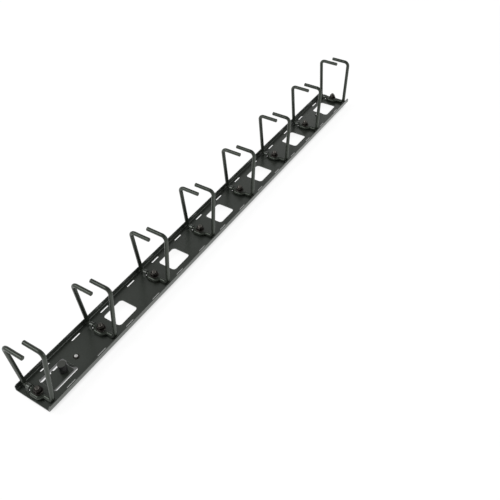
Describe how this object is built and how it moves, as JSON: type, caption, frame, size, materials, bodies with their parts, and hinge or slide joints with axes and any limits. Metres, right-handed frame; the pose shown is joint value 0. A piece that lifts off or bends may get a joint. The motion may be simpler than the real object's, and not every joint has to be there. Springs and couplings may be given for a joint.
{
  "type": "vertical cable organizer",
  "caption": "Long folded steel channel with a row of open bent wire cable rings, keyhole buttons and a pull knob latch, for cables along a rack post.",
  "frame": {"origin": "under the middle of the channel, on the plane of the rivet heads on which the unit rests when it lies on its mounting side", "axes": "+Y along the channel, from the latch end to the other end; +X across it; +Z from the mounting side towards the rings"},
  "size_m": [0.0644, 0.8894, 0.1054],
  "materials": {
    "powder_coated_sheet": "satin charcoal powder coat",
    "powder_coated_wire": "satin charcoal powder coat",
    "zinc_stud": "bright zinc plate",
    "dark_nut": "black oxide",
    "coated_disc": "satin charcoal powder coat",
    "dark_button": "dark plated steel",
    "bright_rivet": "bright zinc plate",
    "zinc_bushing": "bright zinc plate",
    "bright_pin": "polished steel",
    "spring_wire": "drawn spring steel",
    "knob_plastic": "black moulded plastic"
  },
  "bodies": {
    "frame": {"button_far_disc": "coated_disc", "button_far_head": "dark_button", "button_far_rivet": "bright_rivet", "button_near_disc": "coated_disc", "button_near_head": "dark_button", "button_near_rivet": "bright_rivet", "channel": "powder_coated_sheet", "latch_bushing": "zinc_bushing", "latch_spring": "spring_wire", "nut_1": "dark_nut", "nut_2": "dark_nut", "nut_3": "dark_nut", "nut_4": "dark_nut", "nut_5": "dark_nut", "nut_6": "dark_nut", "nut_7": "dark_nut", "nut_8": "dark_nut", "ring_1": "powder_coated_wire", "ring_2": "powder_coated_wire", "ring_3": "powder_coated_wire", "ring_4": "powder_coated_wire", "ring_5": "powder_coated_wire", "ring_6": "powder_coated_wire", "ring_7": "powder_coated_wire", "ring_8": "powder_coated_wire", "stud_1": "zinc_stud", "stud_2": "zinc_stud", "stud_3": "zinc_stud", "stud_4": "zinc_stud", "stud_5": "zinc_stud", "stud_6": "zinc_stud", "stud_7": "zinc_stud", "stud_8": "zinc_stud"},
    "plunger": {"latch_pin": "bright_pin", "latch_knob": "knob_plastic"}
  },
  "joints": [
    {"name": "latch_pull", "type": "slide", "parent": "frame", "child": "plunger", "axis": [0, 0, 1], "range_m": [0, 0.005], "stiffness_N_per_m": 500, "springref_m": -0.004, "deforming": ["latch_spring"]}
  ]
}
